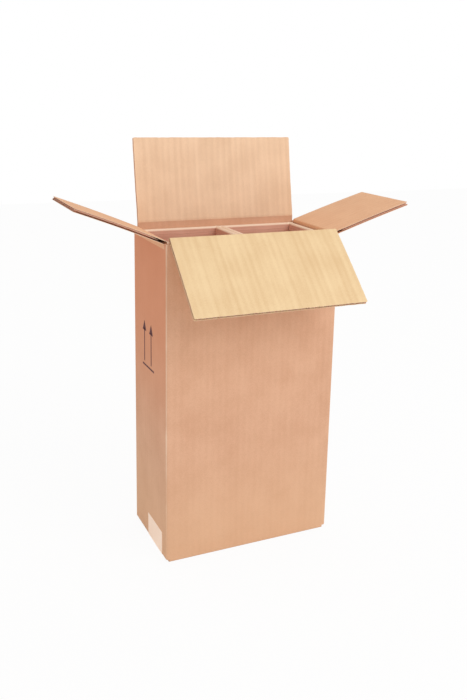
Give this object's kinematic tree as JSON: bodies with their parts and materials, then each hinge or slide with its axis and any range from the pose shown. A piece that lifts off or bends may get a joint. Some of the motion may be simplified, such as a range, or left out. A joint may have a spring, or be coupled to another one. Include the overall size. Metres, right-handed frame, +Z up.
{
  "type": "bottle shipping box",
  "caption": "Tall corrugated shipping carton with open top flaps, a taped bottom and a folded divider that keeps bottles apart in cells of their own.",
  "frame": {"origin": "middle of the carton's underside, on the ground", "axes": "+X right along the front wall, +Y towards the back wall, +Z up"},
  "size_m": [0.405, 0.2014, 0.4778],
  "materials": {
    "carton_board": "matt brown kraft liner",
    "divider_board": "matt brown kraft liner",
    "print_ink": "matt dark brown ink",
    "packing_tape": "clear glossy film"
  },
  "bodies": {
    "carton": {"carton_body": "carton_board", "bottle_divider": "divider_board", "bottom_tape": "packing_tape"},
    "front_flap": {"front_flap": "carton_board"},
    "back_flap": {"back_flap": "carton_board"},
    "left_flap": {"left_flap": "carton_board"},
    "right_flap": {"right_flap": "carton_board"}
  },
  "joints": [
    {"name": "front_flap_fold", "type": "hinge", "parent": "carton", "child": "front_flap", "pos_m": [0, -0.0542, 0.3791], "axis": [1, 0, 0], "range_deg": [-223.1, 14.9]},
    {"name": "back_flap_fold", "type": "hinge", "parent": "carton", "child": "back_flap", "pos_m": [0, 0.0542, 0.383], "axis": [-1, 0, 0], "range_deg": [-100.2, 137.8]},
    {"name": "left_flap_fold", "type": "hinge", "parent": "carton", "child": "left_flap", "pos_m": [-0.1042, 0, 0.3752], "axis": [0, -1, 0], "range_deg": [-158.2, 79.8]},
    {"name": "right_flap_fold", "type": "hinge", "parent": "carton", "child": "right_flap", "pos_m": [0.1042, 0, 0.3752], "axis": [0, 1, 0], "range_deg": [-162.6, 75.4]}
  ]
}
